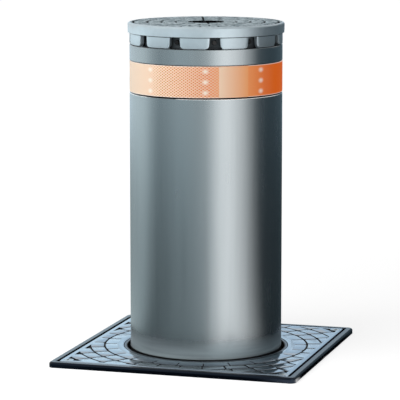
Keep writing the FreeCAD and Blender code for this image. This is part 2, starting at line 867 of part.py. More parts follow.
def cover_setts():
    # Raised kerb round the bore, rings of setts out to the border, and plain corner bosses
    height = cover_base_top
    kerb_r = cover_bore_r + kerb_width
    kerb = disc_face(kerb_r, height).cut(disc_face(cover_bore_r, height))
    slot = Part.makePlane(kerb_slot_length, kerb_slot_width,
                          Vector(kerb_r - kerb_slot_length, -kerb_slot_width / 2, height))
    kerb = kerb.cut(Part.makeCompound(spread(slot, kerb_slot_count)))
    field_side = cover_side - 2 * cover_border
    boss_r = cover_boss_diameter / 2
    bosses = [disc_face(boss_r, height, x, y) for x, y in corner_places()]
    boss_room = [disc_face(boss_r + sett_joint, height, x, y) for x, y in corner_places()]
    field = square_face(field_side, height).cut(Part.makeCompound(boss_room))
    setts = []
    inner = kerb_r + sett_joint
    row = 0
    while inner < field_side / math.sqrt(2):
        setts += sett_row(inner, inner + sett_width, sett_length, sett_joint, 0.5 * (row % 2), height)
        inner += sett_width + sett_joint
        row += 1
    clipped = Part.makeCompound(setts).common(field).Faces
    kept = [face for face in clipped if face.Area > smallest_sett]
    faces = kerb.Faces + kept + bosses
    return [face.extrude(Vector(0, 0, cover_relief)) for face in faces]


def make_cover_plate():
    # Cast cover: base plate with a hub round the bore below, and border and setts above
    hub_foot = clamp_flange_top + hub_gap
    base = rounded_square(cover_side, cover_corner, flange_top, cover_base_top)
    border = rounded_square(cover_side, cover_corner, cover_base_top, cover_top)
    field_side = cover_side - 2 * cover_border
    border = border.cut(rounded_square(field_side, cover_corner, cover_base_top, cover_top))
    hub = cylinder(cover_bore_r + hub_wall, hub_foot, flange_top)
    plate = base.fuse([border, hub]).removeSplitter()
    plate = plate.cut(cylinder(cover_bore_r, hub_foot, cover_top))
    plate = plate.fuse(cover_setts()).removeSplitter()
    screw_hole = countersunk_hole(cover_screw_diameter, cover_top, cover_top)
    return plate.cut([moved(screw_hole, x, y) for x, y in corner_places()])


def make_cover_screws():
    screw = countersunk_screw(cover_screw_diameter, cover_top, cover_top)
    return Part.makeCompound([moved(screw, x, y) for x, y in corner_places()])


pieces = {
    "bollard_tube": make_bollard_tube(),
    "reflective_band": make_reflective_band(),
    "head_cap": make_head_cap(),
    "light_housing": make_light_housing(),
    "lamp_lenses": make_lamp_lenses(),
    "lamp_board": make_lamp_board(),
    "thrust_plate": make_thrust_plate(),
    "rod_nut": make_rod_nut(),
    "cap_washer": make_cap_washer(),
    "cap_bolt": make_cap_bolt(),
    "ram_rod": make_ram_rod(),
    "ram_piston": make_piston(),
    "piston_seal": make_piston_seal(),
    "piston_nut": make_piston_nut(),
    "base_flange": make_base_flange(),
    "guide_shoe_right": make_guide_shoe(1),
    "guide_shoe_left": make_guide_shoe(-1),
    "shoe_screws": make_shoe_screws(),
    "ram_barrel": make_ram_barrel(),
    "ram_gland": make_ram_gland(),
    "rod_seal": make_rod_seal(),
    "pressure_port": make_pressure_port(),
    "foot_bracket": make_foot_bracket(),
    "foot_pin": make_foot_pin(),
    "pin_circlips": make_pin_circlips(),
    "guide_rail_right": make_guide_rail(1),
    "guide_rail_left": make_guide_rail(-1),
    "buffers": make_buffers(),
    "seal_clamp_ring": make_seal_clamp_ring(),
    "clamp_screws": make_clamp_screws(),
    "wiper_seal": make_wiper_seal(),
    "guide_collar": make_guide_collar(),
    "collar_screws": make_collar_screws(),
    "guide_bush": make_guide_bush(),
    "foundation_casing": make_foundation_casing(),
    "ground_flange": make_ground_flange(),
    "collar_seat": make_collar_seat(),
    "casing_floor": make_casing_floor(),
    "drain_spigot": make_drain_spigot(),
    "conduit_spigot": make_conduit_spigot(),
    "ground_frame": make_ground_frame(),
    "cover_plate": make_cover_plate(),
    "cover_screws": make_cover_screws(),
}
for number in range(1, anchor_count + 1):
    pieces[f"anchor_lug_{number}"] = make_anchor_lug(number)

os.makedirs("parts", exist_ok=True)
for name, shape in pieces.items():
    shape.exportStep(f"parts/{name}.step")
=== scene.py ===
import bmesh
import bpy
import json
import math
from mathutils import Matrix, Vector


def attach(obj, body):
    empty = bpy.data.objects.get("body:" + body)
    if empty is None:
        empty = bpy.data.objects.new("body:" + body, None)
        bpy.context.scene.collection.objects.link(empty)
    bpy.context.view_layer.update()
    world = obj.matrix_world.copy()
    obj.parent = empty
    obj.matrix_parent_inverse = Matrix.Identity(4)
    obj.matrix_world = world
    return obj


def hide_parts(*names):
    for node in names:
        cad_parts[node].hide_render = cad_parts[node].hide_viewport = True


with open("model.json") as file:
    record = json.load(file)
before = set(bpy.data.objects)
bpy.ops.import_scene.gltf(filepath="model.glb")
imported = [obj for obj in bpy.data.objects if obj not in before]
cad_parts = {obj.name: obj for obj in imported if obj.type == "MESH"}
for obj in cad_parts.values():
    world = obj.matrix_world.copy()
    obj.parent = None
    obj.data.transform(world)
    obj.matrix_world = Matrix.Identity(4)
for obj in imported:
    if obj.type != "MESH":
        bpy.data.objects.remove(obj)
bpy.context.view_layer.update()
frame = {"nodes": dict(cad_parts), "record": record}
nodes = frame["nodes"]
scene = bpy.context.scene
scene.view_settings.view_transform = "Standard"
mm = 0.001
snug = 0.01 * mm  # lengths this close count as equal
print("frame loaded with", len(nodes), "CAD nodes")


def toLinear(hexText):
    values = [int(hexText[k:k + 2], 16) / 255 for k in (1, 3, 5)]
    return [v / 12.92 if v <= 0.04045 else ((v + 0.055) / 1.055) ** 2.4 for v in values] + [1.0]


def addNode(tree, kind, links=None, **settings):
    node = tree.nodes.new("ShaderNode" + kind)
    for name, value in settings.items():
        setattr(node, name, value)
    for socket, value in (links or {}).items():
        if isinstance(value, bpy.types.NodeSocket):
            tree.links.new(value, node.inputs[socket])
        else:
            node.inputs[socket].default_value = value
    return node


# Each of these adds one kind of node and gives back its output
def calc(tree, operation, *values):
    return addNode(tree, "Math", dict(enumerate(values)), operation=operation).outputs[0]


def remap(tree, value, start=0, end=1, low=0, high=1):
    ends = {"From Min": start, "From Max": end, "To Min": low, "To Max": high}
    return addNode(tree, "MapRange", {"Value": value, **ends}).outputs[0]


def mixValues(tree, share, low, high):
    return addNode(tree, "Mix", {0: share, 2: low, 3: high}).outputs[0]


def mixTones(tree, share, low, high):
    low, high = (toLinear(tone) if isinstance(tone, str) else tone for tone in (low, high))
    return addNode(tree, "Mix", {0: share, 6: low, 7: high}, data_type="RGBA").outputs[2]


def toneRamp(tree, share, tones, interpolation="LINEAR"):
    ramp = addNode(tree, "ValToRGB", {"Fac": share})
    ramp.color_ramp.interpolation = interpolation
    stops = ramp.color_ramp.elements
    stops.remove(stops[-1])
    for number, (position, tone) in enumerate(tones):
        stop = stops[0] if number == 0 else stops.new(1)
        stop.position = position
        stop.color = toLinear(tone)
    return ramp.outputs[0]


def stretch(tree, place, scale):
    return addNode(tree, "Mapping", {"Vector": place, "Scale": scale}).outputs[0]


def addNoise(tree, place, size, detail=3):
    return addNode(tree, "TexNoise", {"Vector": place, "Scale": 1 / size, "Detail": detail}).outputs[0]


waveUnit = 0.314  # scale of a wave texture with one band to the metre


def addWave(tree, place, spacing, wobble=0, **settings):
    links = {"Vector": place, "Scale": waveUnit / spacing, "Distortion": wobble}
    return addNode(tree, "TexWave", links, **settings).outputs[1]


def addBump(tree, height, strength, depth):
    return addNode(tree, "Bump", {"Height": height, "Strength": strength, "Distance": depth}).outputs[0]


def splitPlace(tree, place):
    return addNode(tree, "SeparateXYZ", {"Vector": place}).outputs


def flatLength(tree, x, y):
    flat = addNode(tree, "CombineXYZ", {"X": x, "Y": y})
    return addNode(tree, "VectorMath", {0: flat.outputs[0]}, operation="LENGTH").outputs["Value"]


def startFinish(name):
    finish = bpy.data.materials.new(name)
    finish.use_nodes = True
    finish.node_tree.nodes.clear()
    place = addNode(finish.node_tree, "TexCoord").outputs["Object"]
    return finish, finish.node_tree, place


def closeFinish(finish, links):
    surface = addNode(finish.node_tree, "BsdfPrincipled", links)
    addNode(finish.node_tree, "OutputMaterial", {"Surface": surface.outputs[0]})
    return finish


# Camera: the photograph's view, from the +X side of the front, a long lens a little above the head
cameraSet = {"lens": 208.64, "sensor": 36, "turn": 16.49, "reach": 4.1566, "height": 0.8993,
             "tilt": 8.52, "pan": 0.15}


def standAt(bearing, reach, height):
    turn = math.radians(cameraSet["turn"] + bearing)
    return Vector((reach * math.sin(turn), -reach * math.cos(turn), height))


def placeCamera():
    view = bpy.data.cameras.new("photoCamera")
    view.lens = cameraSet["lens"]
    view.sensor_width = cameraSet["sensor"]
    camera = bpy.data.objects.new("photoCamera", view)
    scene.collection.objects.link(camera)
    camera.location = standAt(0, cameraSet["reach"], cameraSet["height"])
    pan = math.radians(cameraSet["turn"]) + math.radians(cameraSet["pan"])
    camera.rotation_euler = (math.radians(90 - cameraSet["tilt"]), 0, pan)
    scene.camera = camera


placeCamera()
print("camera placed")


# Satin metallic powder coat on steel: a broad soft highlight with faint upright roll marks and hazy
# patches, with painted shade in black in the groove beside the film and in a band at the foot where the
# tube goes into the wiper's lip, rubbed bright on the groove's lower edge. Dust wiped level dulls and evens
# the foot, and its lighter tone there is also a painted reflection of the cover
tubeSet = {"footShadeTop": 10.3 * mm, "footShadeFade": 0.9 * mm, "dustSheenFull": 14 * mm, "dustSheenTop": 46 * mm,
           "groove": 136.6 * mm, "grooveFade": 0.2 * mm, "rubbedEdge": 473.5 * mm, "rubbedHalf": 0.6 * mm}


def satinPowderCoat():
    finish, tree, place = startFinish("satinPowderCoatSteel")
    rolled = addNoise(tree, stretch(tree, place, (1, 1, 0.04)), 14 * mm, detail=2)
    wipes = addNoise(tree, stretch(tree, place, (0.06, 0.06, 1)), 7 * mm, detail=2)
    haze = addNoise(tree, place, 70 * mm)
    spot = splitPlace(tree, place)
    radius = flatLength(tree, spot["X"], spot["Y"])
    fromLip = calc(tree, "ABSOLUTE", spot["Z"])
    footShadeEnd = tubeSet["footShadeTop"] + tubeSet["footShadeFade"]
    grooveEnd = tubeSet["groove"] + tubeSet["grooveFade"]
    # painted shade: black in a band at the foot, where the tube goes into the wiper's lip
    footShade = remap(tree, fromLip, tubeSet["footShadeTop"], footShadeEnd, low=1, high=0)
    # painted shade: black in the groove beside the film
    groove = remap(tree, radius, tubeSet["groove"], grooveEnd, low=1, high=0)
    # the two painted shades together
    darkening = calc(tree, "MAXIMUM", footShade, groove)
    fromEdge = calc(tree, "SUBTRACT", spot["Z"], tubeSet["rubbedEdge"])
    onEdge = calc(tree, "LESS_THAN", calc(tree, "ABSOLUTE", fromEdge), tubeSet["rubbedHalf"])
    rubbed = calc(tree, "MULTIPLY", onEdge, remap(tree, haze, 0.46, 0.52))
    # dust at the foot, and also a painted reflection of the cover: lighter and duller there
    foot = remap(tree, fromLip, tubeSet["dustSheenFull"], tubeSet["dustSheenTop"], low=1, high=0)
    dustAndSheen = calc(tree, "MULTIPLY", foot, remap(tree, wipes, 0.35, 0.65, low=0.55, high=1))
    tone = mixTones(tree, rolled, "#777C7E", "#818688")
    edged = mixTones(tree, rubbed, tone, "#EEF2F3")
    dustySheen = mixTones(tree, dustAndSheen, edged, "#9CAAAE")
    rough = remap(tree, mixValues(tree, 0.6, haze, rolled), 0.3, 0.7, low=0.24, high=0.28)
    return closeFinish(finish, {"Base Color": mixTones(tree, darkening, dustySheen, "#0A0C0E"),
                                "Roughness": mixValues(tree, dustAndSheen, rough, 0.55),
                                "Metallic": remap(tree, dustAndSheen, low=0.95, high=0.25)})


# Sand-cast aluminium, shot blasted: even grey with a sandy grain and a soft metal sheen, walked dull and
# mottled on the tread, dirt-dark in its joints, with painted shade as a dark line under the rim and as
# black down in the centre recess and round its lip
headSet = {"deck": 597.5 * mm, "top": 600 * mm, "recess": 32.5 * mm, "ease": 1.1 * mm,
           "toothEase": 0.7 * mm, "toothRadius": 137.5 * mm, "toothSharp": 50, "skirtFoot": 561.8 * mm,
           "rimFoot": 582 * mm, "underRim": 1.6 * mm}


def blastedAluminium():
    finish, tree, place = startFinish("blastedCastAluminium")
    deck, skirt = headSet["deck"], headSet["toothRadius"]
    grain = addNoise(tree, place, 1.6 * mm, detail=4)
    cloud = addNoise(tree, place, 9 * mm, detail=4)
    spot = splitPlace(tree, place)
    radius = flatLength(tree, spot["X"], spot["Y"])
    above = remap(tree, spot["Z"], deck - 0.6 * mm, deck - 0.2 * mm)
    below = remap(tree, spot["Z"], deck + 0.4 * mm, headSet["top"] - 0.5 * mm, low=1, high=0)
    inside = remap(tree, radius, skirt - 2 * mm, skirt - 1 * mm, low=1, high=0)
    tread = calc(tree, "MULTIPLY", above, inside)
    joint = calc(tree, "MULTIPLY", tread, below)
    # painted shade: black in the centre recess and round its lip
    recess = calc(tree, "LESS_THAN", radius, headSet["recess"])
    # painted shade: a dark line under the rim's overhang
    drop = calc(tree, "SUBTRACT", spot["Z"], headSet["rimFoot"] - headSet["underRim"] / 2)
    close = remap(tree, calc(tree, "ABSOLUTE", drop), headSet["underRim"] * 0.45, headSet["underRim"] * 0.7,
                  low=0.8, high=0)
    underRimShade = calc(tree, "MULTIPLY", close, calc(tree, "LESS_THAN", radius, skirt + 0.7 * mm))
    # dark joints are the casting's own; the rest of this darkening is painted shade
    darkening = calc(tree, "MAXIMUM", calc(tree, "MAXIMUM", joint, recess), underRimShade)
    tone = mixTones(tree, cloud, "#AEBCC3", "#BBC9D0")
    walked = mixTones(tree, remap(tree, cloud, 0.4, 0.6), "#738289", "#C0CED4")
    topped = mixTones(tree, tread, tone, walked)
    sheen = remap(tree, grain, 0.3, 0.7, low=0.3, high=0.38)
    return closeFinish(finish, {"Base Color": mixTones(tree, darkening, topped, "#080A0C"),
                                "Roughness": mixValues(tree, tread, sheen, 0.8),
                                "Metallic": remap(tree, tread, low=0.3, high=0.1),
                                "Specular IOR Level": remap(tree, darkening, low=0.5, high=0.04),
                                "Normal": addBump(tree, grain, 0.3, 0.15 * mm)})


# Cast aluminium with rolled-bright tops: cool mirror-like sett faces and outer edge, dark dull joints.
# Each of the joints' tips has its place along the border and how far it is drawn back
coverSet = {"base": 7 * mm, "top": 10 * mm, "half": 209 * mm, "corner": 4.0 * mm, "cornerSharp": 45,
            "cornerRoom": 6.4 * mm, "ease": 1.1 * mm, "border": 200 * mm,
            "tips": ((64.68 * mm, 5.8 * mm), (126.41 * mm, 1.5 * mm)), "tipReach": 0.1 * mm}


def brightCoverCasting():
    finish, tree, place = startFinish("brightTopCastAluminium")
    spot = splitPlace(tree, place)
    top = remap(tree, spot["Z"], coverSet["top"] - 0.4 * mm, coverSet["top"] - 0.03 * mm)
    reach = calc(tree, "MAXIMUM", calc(tree, "ABSOLUTE", spot["X"]), calc(tree, "ABSOLUTE", spot["Y"]))
    rim = remap(tree, reach, coverSet["half"] - 2.5 * mm, coverSet["half"] - 1.5 * mm)
    bright = calc(tree, "MAXIMUM", top, rim)
    grain = addNoise(tree, place, 3 * mm)
    cloud = addNoise(tree, place, 40 * mm)
    tone = mixTones(tree, cloud, "#8492A0", "#A5B3BF")
    shine = remap(tree, grain, 0.3, 0.7, low=0.12, high=0.2)
    return closeFinish(finish, {"Base Color": mixTones(tree, bright, "#070A10", tone),
                                "Roughness": mixValues(tree, bright, 0.7, shine), "Metallic": bright,
                                "Normal": addBump(tree, cloud, 0.1, 0.5 * mm)})


# Dark semi-gloss enamel on steel bar: near black, with grey sky only where it is seen aslant, and slight
# brush peel
def darkFrameEnamel():
    finish, tree, place = startFinish("semiGlossDarkEnamel")
    peel = addNoise(tree, place, 4 * mm)
    cloud = addNoise(tree, place, 60 * mm)
    return closeFinish(finish, {"Base Color": mixTones(tree, cloud, "#04070D", "#090F18"),
                                "Roughness": remap(tree, peel, 0.3, 0.7, low=0.17, high=0.24),
                                "Specular IOR Level": 0.32, "Specular Tint": toLinear("#A3BADA"),
                                "Normal": addBump(tree, peel, 0.1, 0.2 * mm)})


# Prismatic retro-reflective film: orange with a painted glow that is strongest on the side away from the
# light, and painted paler as a painted sheen on the lit side. Pale cell walls cross as a diamond lattice,
# painted faint in four clear spans where sheen and shade hide it, columns of three soft seal dots stand
# round it, and both edges are sealed in a pale line
filmSet = {"radius": 137.4 * mm, "cellWide": 6.9 * mm, "cellTall": 4.8 * mm, "clearSpans": 4,
           "dot": 5.6 * mm, "dotSlim": 0.75, "dotPitch": 18.7 * mm, "middle": 504 * mm,
           "columnStep": 45.0, "columnStart": 16.0, "litSideBearing": -60.0, "shadeSideGlow": 0.66,
           "litSideGlow": 0.2, "border": 26.2 * mm, "edge": 27.0 * mm,
           "fade": {0: "#E45C04", 0.3: "#EC9F66", 1: "#E9D2BB"}}


def fromNearest(tree, value, start, pitch):
    share = calc(tree, "FLOORED_MODULO", calc(tree, "SUBTRACT", value, start - pitch / 2), pitch)
    return calc(tree, "SUBTRACT", share, pitch / 2)


def filmLattice(tree, spot, bearing, paintedSheenAndPale, base):
    along = calc(tree, "MULTIPLY", bearing, filmSet["radius"])
    column = calc(tree, "DIVIDE", along, filmSet["cellWide"])
    row = calc(tree, "DIVIDE", spot["Z"], filmSet["cellTall"])
    slopes = [calc(tree, operation, column, row) for operation in ("ADD", "SUBTRACT")]
    fromWall = calc(tree, "MINIMUM", *[calc(tree, "PINGPONG", slope, 0.5) for slope in slopes])
    cell = remap(tree, fromWall, 0.08, 0.24)
    wallTone = mixTones(tree, paintedSheenAndPale, "#EC7822", "#F6E8D6")
    cellTone = mixTones(tree, paintedSheenAndPale, "#CC4202", "#C89862")
    web = mixTones(tree, cell, wallTone, cellTone)
    # the lattice is painted faint in four spans, where painted sheen and shade hide it
    spanFade = calc(tree, "COSINE", calc(tree, "MULTIPLY", bearing, filmSet["clearSpans"]))
    webbed = mixTones(tree, remap(tree, spanFade, -0.6, 0.3), base, web)
    step = math.radians(filmSet["columnStep"]) * filmSet["radius"]
    start = math.radians(filmSet["columnStart"]) * filmSet["radius"]
    sideways = calc(tree, "MULTIPLY", fromNearest(tree, along, start, step), filmSet["dotSlim"])
    upward = fromNearest(tree, spot["Z"], filmSet["middle"] - filmSet["dotPitch"], filmSet["dotPitch"])
    fromDot = flatLength(tree, sideways, upward)
    dot = remap(tree, fromDot, filmSet["dot"] * 0.15, filmSet["dot"], low=0.75, high=0)
    fromMiddle = calc(tree, "ABSOLUTE", calc(tree, "SUBTRACT", spot["Z"], filmSet["middle"]))
    border = remap(tree, fromMiddle, filmSet["border"], filmSet["edge"], high=0.7)
    return mixTones(tree, calc(tree, "MAXIMUM", dot, border), webbed, "#FBEDE2"), cell


def orangeFilm(name, lap=None):
    finish, tree, place = startFinish(name)
    spot = splitPlace(tree, place)
    bearing = calc(tree, "ARCTAN2", spot["X"], calc(tree, "MULTIPLY", spot["Y"], -1))
    fromLitSide = calc(tree, "SUBTRACT", bearing, math.radians(filmSet["litSideBearing"]))
    # painted sheen: the film is painted paler towards its lit side
    paintedSheen = remap(tree, calc(tree, "COSINE", fromLitSide), -0.75, 1)
    paintedSheenAndPale = paintedSheen
    if lap:
        fadeStart, fadeEnd = (math.radians(side) for side in lap["fade"])
        faded = remap(tree, bearing, fadeStart, fadeEnd, low=lap["paler"], high=0)
        paintedSheenAndPale = addNode(tree, "Math", {0: paintedSheen, 1: faded}, operation="ADD", use_clamp=True).outputs[0]
    tone = toneRamp(tree, paintedSheenAndPale, filmSet["fade"].items())
    relief = {}
    if not lap:
        tone, cell = filmLattice(tree, spot, bearing, paintedSheenAndPale, tone)
        relief = {"Normal": addBump(tree, cell, 0.2, 0.1 * mm)}
    # painted glow: the film gives out light, most on the side away from its lit side
    glow = remap(tree, paintedSheen, low=filmSet["shadeSideGlow"], high=filmSet["litSideGlow"])
    return closeFinish(finish, {"Base Color": tone, "Roughness": 0.42, "IOR": 1.5,
                                "Specular IOR Level": 0.06, "Emission Color": tone,
                                "Emission Strength": glow, **relief})


# Moulded nitrile rubber: almost black, dull, with a faint flow mottle
def mouldedRubber():
    finish, tree, place = startFinish("mouldedBlackRubber")
    mottle = addNoise(tree, place, 6 * mm, detail=4)
    return closeFinish(finish, {"Base Color": mixTones(tree, mottle, "#0C0D0E", "#191B1D"),
                                "Roughness": remap(tree, mottle, low=0.55, high=0.75),
                                "Normal": addBump(tree, mottle, 0.15, 0.2 * mm)})


# Moulded polyamide housing: dark grey with a fine spark-eroded grain
def grainedPolyamide():
    finish, tree, place = startFinish("grainedGreyPolyamide")
    grain = addNoise(tree, place, 1.2 * mm)
    return closeFinish(finish, {"Base Color": mixTones(tree, grain, "#2E3438", "#3E4549"), "Roughness": 0.7,
                                "Normal": addBump(tree, grain, 0.3, 0.1 * mm)})


# Smoked acrylic lens: black with a soft gloss, with level prism ribs 1 mm apart
def smokedAcrylic():
    finish, tree, place = startFinish("smokedAcrylicLens")
    ribs = addWave(tree, place, 1 * mm, bands_direction="Z")
    return closeFinish(finish, {"Base Color": mixTones(tree, ribs, "#030203", "#0B0809"), "Roughness": 0.2,
                                "IOR": 1.49, "Specular IOR Level": 0.2,
                                "Normal": addBump(tree, ribs, 0.3, 0.2 * mm)})


# Glass-epoxy laminate with green solder mask: even dark green, copper runs as paler lines 3 mm apart
def solderMaskLaminate():
    finish, tree, place = startFinish("greenSolderMaskLaminate")
    line = remap(tree, addWave(tree, place, 3 * mm, bands_direction="Z"), 0.7, 0.8)
    return closeFinish(finish, {"Base Color": mixTones(tree, line, "#0D4427", "#2B7A4C"), "Roughness": 0.3,
                                "Normal": addBump(tree, line, 0.4, 0.05 * mm)})


# Hot-dip galvanised steel: zinc spangle crystals about 12 mm across, each with its own grey and gloss
def hotDipZinc():
    finish, tree, place = startFinish("hotDipGalvanisedSteel")
    spangle = addNode(tree, "TexVoronoi", {"Vector": place, "Scale": 1 / (12 * mm)})
    shade = addNode(tree, "SeparateColor", {"Color": spangle.outputs["Color"]}).outputs
    drift = addNoise(tree, place, 30 * mm)
    return closeFinish(finish, {"Base Color": mixTones(tree, shade[0], "#8E9498", "#B4BABD"),
                                "Roughness": remap(tree, shade[1], low=0.32, high=0.52), "Metallic": 0.85,
                                "Normal": addBump(tree, drift, 0.2, 0.3 * mm)})


# Turned mild steel: bright, with tool rings about the axis (drawn at 1.5 mm so that they show)
def turnedSteel():
    finish, tree, place = startFinish("turnedBrightSteel")
    rings = addWave(tree, place, 1.5 * mm, wobble=0.3, wave_type="RINGS", rings_direction="Z")
    cloud = addNoise(tree, place, 25 * mm)
    return closeFinish(finish, {"Base Color": mixTones(tree, cloud, "#8F9396", "#A8ABAD"),
                                "Roughness": remap(tree, rings, low=0.22, high=0.36), "Metallic": 1.0,
                                "Normal": addBump(tree, rings, 0.1, 0.05 * mm)})


# Turned steel: the clamp ring is bright outside, its bore and inner lip painted black as painted shade in
# the gap round the tube, and the bolt and washer down in the head's recess are painted black all over as
# painted shade
clampSet = {"unshadedFrom": 146.0 * mm, "shadeTo": 144.6 * mm, "shadeWobble": 0.8 * mm}


def shadeBlackenedClampSteel():
    finish, tree, place = startFinish("turnedSteelPaintedShade")
    spot = splitPlace(tree, place)
    radius = flatLength(tree, spot["X"], spot["Y"])
    shadeWobble = remap(tree, addNoise(tree, place, 9 * mm), low=-clampSet["shadeWobble"], high=clampSet["shadeWobble"])
    # painted shade: the bore and inner lip are black
    unshaded = remap(tree, calc(tree, "ADD", radius, shadeWobble), clampSet["shadeTo"], clampSet["unshadedFrom"])
    return closeFinish(finish, {"Base Color": mixTones(tree, unshaded, "#08090A", "#4E5A66"),
                                "Roughness": remap(tree, unshaded, low=0.6, high=0.38), "Metallic": unshaded})


# Bright zinc plate on screws: cool silver with a slight blue and straw bloom in patches
def brightZincPlate():
    finish, tree, place = startFinish("brightZincPlate")
    bloom = addNoise(tree, place, 5 * mm, detail=2)
    return closeFinish(finish, {"Base Color": mixTones(tree, bloom, "#A3ABB3", "#B9B5A6"),
                                "Roughness": remap(tree, bloom, low=0.2, high=0.34), "Metallic": 1.0})


# Hard chrome, ground and polished: a dark-and-bright mirror with faint level grinding lines
def hardChrome():
    finish, tree, place = startFinish("groundHardChrome")
    lines = addNoise(tree, stretch(tree, place, (0.02, 0.02, 1)), 1.5 * mm, detail=4)
    return closeFinish(finish, {"Base Color": mixTones(tree, lines, "#C3C7CC", "#D4D7DA"),
                                "Roughness": remap(tree, lines, low=0.04, high=0.12), "Metallic": 1.0})


# Black machinery enamel: deep gloss with brushed-on unevenness
def blackEnamel():
    finish, tree, place = startFinish("blackMachineEnamel")
    peel = addNoise(tree, place, 8 * mm)
    return closeFinish(finish, {"Base Color": mixTones(tree, peel, "#0E1013", "#1D2126"), "Roughness": 0.22,
                                "Normal": addBump(tree, peel, 0.2, 0.3 * mm)})


# Cast nylon, turned and sawn: waxy off-white with soft cloudy depth
def castNylon():
    finish, tree, place = startFinish("castNaturalNylon")
    cloud = addNoise(tree, place, 20 * mm)
    cuts = addWave(tree, place, 1.2 * mm, wobble=1, bands_direction="Z")
    return closeFinish(finish, {"Base Color": mixTones(tree, cloud, "#D6D1C2", "#E4E0D4"),
                                "Roughness": 0.48, "IOR": 1.53,
                                "Normal": addBump(tree, cuts, 0.1, 0.1 * mm)})


# Cast polyurethane seal: dark green, smooth and slightly waxy
def sealPolyurethane():
    finish, tree, place = startFinish("castGreenPolyurethane")
    cloud = addNoise(tree, place, 8 * mm)
    return closeFinish(finish, {"Base Color": mixTones(tree, cloud, "#1D3A26", "#2A4C33"),
                                "Roughness": remap(tree, cloud, low=0.35, high=0.5), "IOR": 1.5})


finishes = {
    "tube_paint": satinPowderCoat(),
    "head_casting": blastedAluminium(),
    "cover_casting": brightCoverCasting(),
    "frame_paint": darkFrameEnamel(),
    "reflective_film": orangeFilm("prismaticOrangeFilm"),
    "black_rubber": mouldedRubber(),
    "housing_plastic": grainedPolyamide(),
    "lamp_lens": smokedAcrylic(),
    "lamp_board": solderMaskLaminate(),
    "galvanised_steel": hotDipZinc(),
    "machined_steel": turnedSteel(),
    "zinc_fasteners": brightZincPlate(),
    "chromed_rod": hardChrome(),
    "ram_paint": blackEnamel(),
    "guide_nylon": castNylon(),
    "seal_rubber": sealPolyurethane(),
}
for part in frame["record"]["subparts"]:
    for slot in nodes[part["node"]].material_slots:
        slot.material = finishes[part["material_slot"]]
shadeBlackened = shadeBlackenedClampSteel()
# the clamp ring, cap bolt and washer get the steel with painted shade; bolt and washer are black all over
for name in ("seal_clamp_ring", "cap_bolt", "cap_washer"):
    for slot in nodes[name].material_slots:
        slot.material = shadeBlackened
print("finishes made and given to the CAD nodes:", len(finishes))


# How pieces are opened, picked at and closed, with the angles in degrees
pieceSet = {"flatAngle": 0.5, "smoothAngle": 32, "uprightNormal": 0.2, "levelNormal": 0.9, "easeSteps": 2,
            "cornerSteps": 3}


def openEdit(piece):
    bpy.ops.object.select_all(action="DESELECT")
    piece.select_set(True)
    bpy.context.view_layer.objects.active = piece
    bpy.ops.object.mode_set(mode="EDIT")
    bpy.ops.mesh.select_mode(type="EDGE")


def copyNode(nodeName, pieceName):
    piece = nodes[nodeName].copy()
    piece.data = nodes[nodeName].data.copy()
    piece.name = pieceName
    piece.parent = None
    for key in list(piece.keys()):
        del piece[key]
    scene.collection.objects.link(piece)
    openEdit(piece)
    bpy.ops.mesh.select_all(action="SELECT")
    bpy.ops.mesh.remove_doubles(threshold=snug)
    bpy.ops.mesh.customdata_custom_splitnormals_clear()
    bpy.ops.mesh.dissolve_limited(angle_limit=math.radians(pieceSet["flatAngle"]))
    return piece


def startPiece(name):
    piece = bpy.context.object
    piece.name = name
    bpy.ops.object.mode_set(mode="EDIT")
    bpy.ops.mesh.select_mode(type="EDGE")
    bpy.ops.mesh.select_all(action="SELECT")
    return piece


def selectEdges(piece, wanted, anyEdge=False):
    bpy.ops.mesh.select_mode(type="EDGE")
    bpy.ops.mesh.select_all(action="DESELECT")
    shape = bmesh.from_edit_mesh(piece.data)
    shape.normal_update()
    for edge in shape.edges:
        if (anyEdge or edge.is_manifold) and wanted(edge):
            edge.select_set(True)
    bmesh.update_edit_mesh(piece.data)


def extrudeUp(height):
    bpy.ops.mesh.extrude_edges_move(TRANSFORM_OT_translate={"value": (0, 0, height)})


def closePiece(piece, body, slotName, stoodFor=None):
    bpy.ops.object.mode_set(mode="OBJECT")
    bpy.ops.object.shade_smooth_by_angle(angle=math.radians(pieceSet["smoothAngle"]))
    piece.data.materials.clear()
    piece.data.materials.append(finishes[slotName])
    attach(piece, body)
    if stoodFor:
        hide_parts(stoodFor)


def isTopRim(edge, top):
    if any(abs(v.co.z - top) > snug for v in edge.verts):
        return False
    heights = sorted(abs(face.normal.z) for face in edge.link_faces)
    return heights[0] < pieceSet["uprightNormal"] and heights[1] > pieceSet["levelNormal"]


def easeTopRim(piece, settings):
    selectEdges(piece, lambda edge: isTopRim(edge, settings["top"]))
    bpy.ops.mesh.bevel(offset=settings["ease"], segments=pieceSet["easeSteps"], affect="EDGES",
                       loop_slide=False)  # keeps widths even


